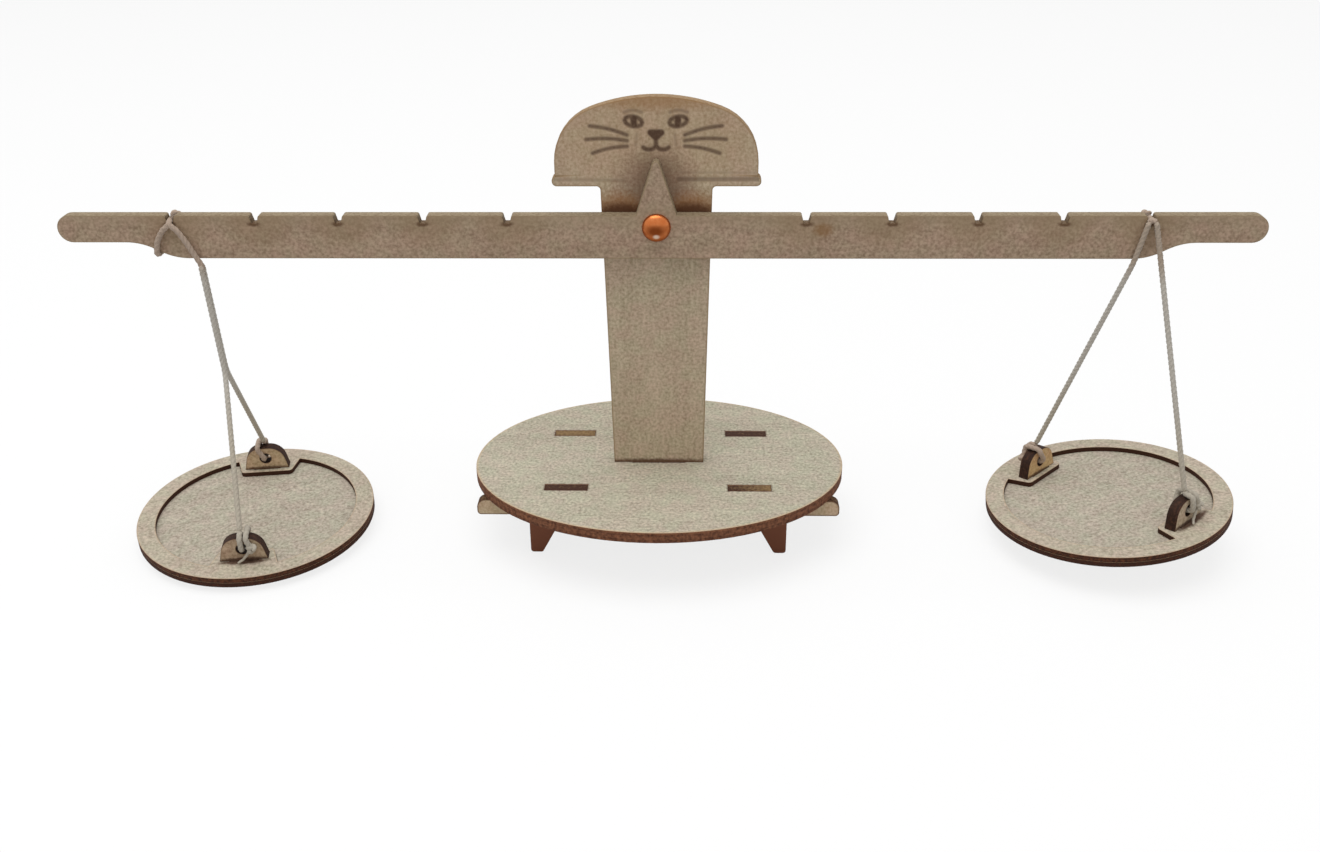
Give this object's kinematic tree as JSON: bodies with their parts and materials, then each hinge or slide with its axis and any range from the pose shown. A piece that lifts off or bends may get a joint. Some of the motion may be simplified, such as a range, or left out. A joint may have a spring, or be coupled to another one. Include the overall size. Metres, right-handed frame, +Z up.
{
  "type": "balance scale toy",
  "caption": "Plywood toy balance: a notched beam with a pointer tilts on a split-pin fastener in front of a dome-headed post on an oval base, with two round pans on cotton strings.",
  "frame": {"origin": "on the table, midway between the four feet and under the middle of the base plate; the right pan reaches 2.9 mm past the beam's end, so the bounding box's middle lies 1.4 mm to the +X side", "axes": "+X along the beam to the right as seen from the front, +Y from the front to the back, +Z up"},
  "size_m": [0.3029, 0.076, 0.119],
  "materials": {
    "plywood": "matt, laser-cut edges burnt brown",
    "thin_plywood": "matt, laser-cut edges burnt brown",
    "brass": "glossy, reddish",
    "string": "twisted cotton, off-white"
  },
  "bodies": {
    "stand": {"base_plate": "plywood", "front_foot_rail": "plywood", "rear_foot_rail": "plywood", "post": "plywood", "pivot_fastener": "brass"},
    "beam": {"beam": "plywood", "left_beam_tie": "string", "right_beam_tie": "string"},
    "left_pan": {"left_pan_disc": "thin_plywood", "left_pan_ring": "thin_plywood", "left_back_lug": "plywood", "left_front_lug": "plywood", "left_back_string": "string", "left_front_string": "string", "left_back_knot": "string", "left_front_knot": "string"},
    "right_pan": {"right_pan_disc": "thin_plywood", "right_pan_ring": "thin_plywood", "right_back_lug": "plywood", "right_front_lug": "plywood", "right_back_string": "string", "right_front_string": "string", "right_back_knot": "string", "right_front_knot": "string"}
  },
  "joints": [
    {"name": "beam_tilt", "type": "hinge", "parent": "stand", "child": "beam", "pos_m": [0, -0.0033, 0.0874], "axis": [0, 1, 0], "range_deg": [-0.8, 3.7]},
    {"name": "left_pan_swing", "type": "hinge", "parent": "beam", "child": "left_pan", "pos_m": [-0.11124, -0.00585, 0.0787], "axis": [0, -1, 0], "range_deg": [-8, 8]},
    {"name": "right_pan_swing", "type": "hinge", "parent": "beam", "child": "right_pan", "pos_m": [0.12124, -0.00585, 0.08925], "axis": [0, -1, 0], "range_deg": [-8, 8]}
  ]
}
